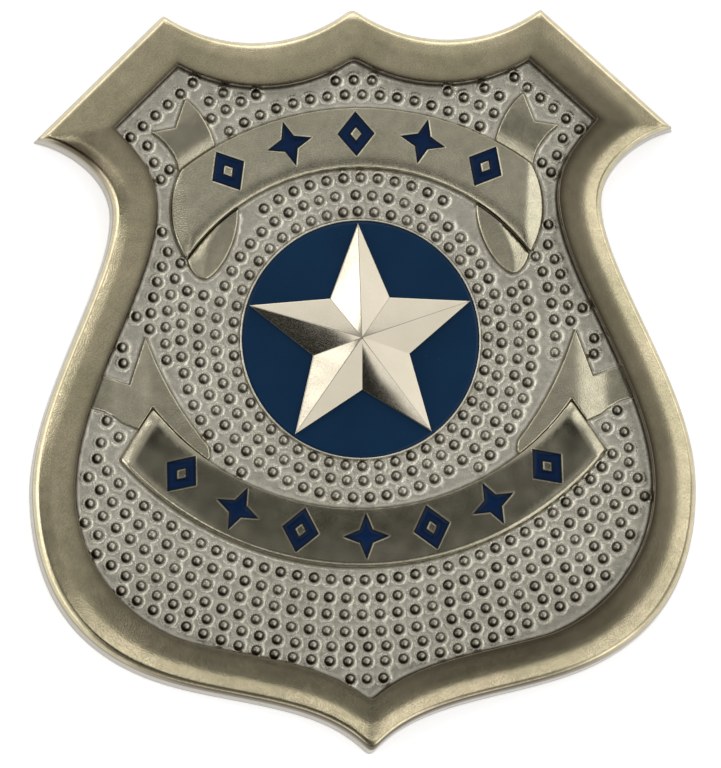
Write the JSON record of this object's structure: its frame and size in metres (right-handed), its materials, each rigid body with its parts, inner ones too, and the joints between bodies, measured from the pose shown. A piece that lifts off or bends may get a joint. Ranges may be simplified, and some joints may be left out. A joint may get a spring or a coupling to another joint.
{
  "type": "police badge",
  "caption": "Shield badge with a rounded rim, beaded field, two ribbons with enamel ornaments and a faceted star on a round enamel disc.",
  "frame": {"origin": "middle of the badge's width and height, on the plane that its back rests on", "axes": "+X to the right of the face, +Y towards the peak between the scallops, +Z out of the face"},
  "size_m": [0.0682, 0.0768, 0.0048],
  "materials": {
    "antique_nickel": "satin, fine grain",
    "bright_silver": "bright, finely wrinkled between the beads",
    "satin_silver": "satin",
    "navy_enamel": "glossy enamel"
  },
  "bodies": {
    "root": {"shield_rim": "antique_nickel", "field_plate": "bright_silver", "enamel_disc": "navy_enamel", "star": "satin_silver", "upper_ribbon": "antique_nickel", "lower_ribbon": "antique_nickel", "upper_tail_left": "antique_nickel", "upper_tail_right": "antique_nickel", "lower_tail_left": "antique_nickel", "lower_tail_right": "antique_nickel", "upper_inlay_1": "navy_enamel", "upper_inlay_2": "navy_enamel", "upper_inlay_3": "navy_enamel", "upper_inlay_4": "navy_enamel", "upper_inlay_5": "navy_enamel", "lower_inlay_1": "navy_enamel", "lower_inlay_2": "navy_enamel", "lower_inlay_3": "navy_enamel", "lower_inlay_4": "navy_enamel", "lower_inlay_5": "navy_enamel", "lower_inlay_6": "navy_enamel", "lower_inlay_7": "navy_enamel", "pin_clasp": "satin_silver"}
  },
  "joints": []
}
